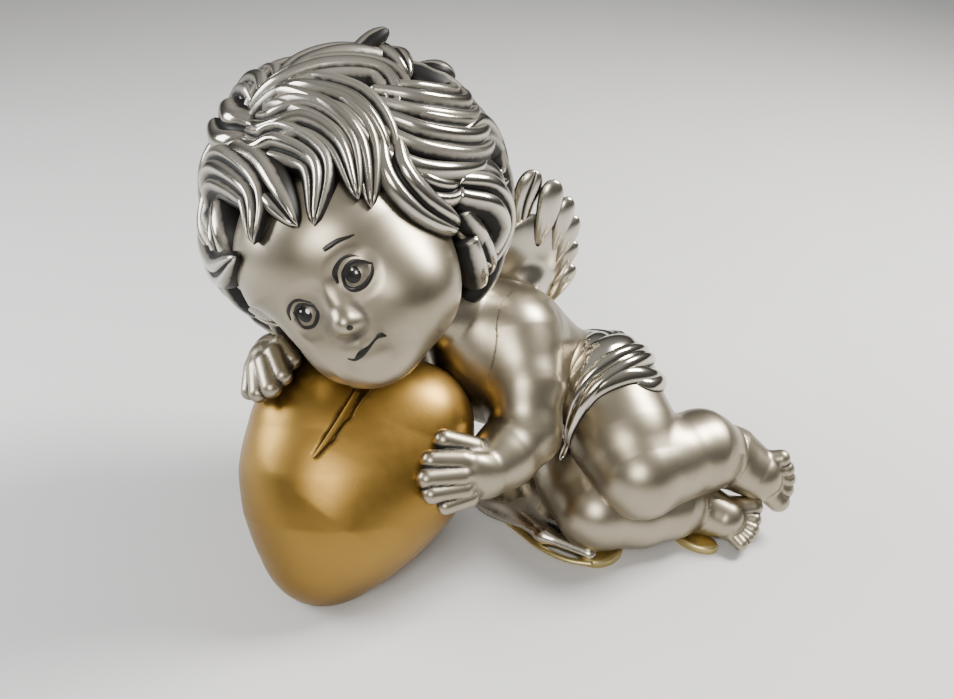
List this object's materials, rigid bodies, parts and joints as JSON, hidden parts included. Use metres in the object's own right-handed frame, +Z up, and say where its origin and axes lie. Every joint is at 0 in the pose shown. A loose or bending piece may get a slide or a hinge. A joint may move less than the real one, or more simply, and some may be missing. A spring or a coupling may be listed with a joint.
{
  "type": "resin angel figurine",
  "caption": "Winged cherub lying on its side with curly hair, its head and hands resting on a large upright heart; a free-standing painted resin ornament.",
  "frame": {"origin": "on the ground, under the middle of the figurine's bounding box", "axes": "+X from the heart towards the feet, +Y from the figurine's front to its back, +Z up"},
  "size_m": [0.101, 0.0588, 0.0806],
  "materials": {
    "heart_gold": "satin gold metallic lacquer over resin",
    "skin_silver": "satin champagne-silver metallic lacquer over resin",
    "hair_silver": "bright silver plating with black antique wash in the grooves",
    "wing_silver": "bright silver plating with black antique wash in the grooves",
    "cloth_silver": "bright silver plating with black antique wash in the grooves",
    "rest_gold": "pale gold lacquer over resin",
    "dowel_steel": "plain steel pin"
  },
  "bodies": {
    "root": {"heart": "heart_gold", "head": "skin_silver", "torso": "skin_silver", "hair_cap": "hair_silver", "loincloth": "cloth_silver", "left_arm": "skin_silver", "right_arm": "skin_silver", "left_leg": "skin_silver", "right_leg": "skin_silver", "left_foot": "skin_silver", "right_foot": "skin_silver", "left_wing": "wing_silver", "right_wing": "wing_silver", "ground_cloth": "cloth_silver", "knee_rest": "rest_gold", "ankle_rest": "rest_gold", "neck_dowel": "dowel_steel", "heart_dowel": "dowel_steel", "left_wing_dowel": "dowel_steel", "right_wing_dowel": "dowel_steel"}
  },
  "joints": []
}
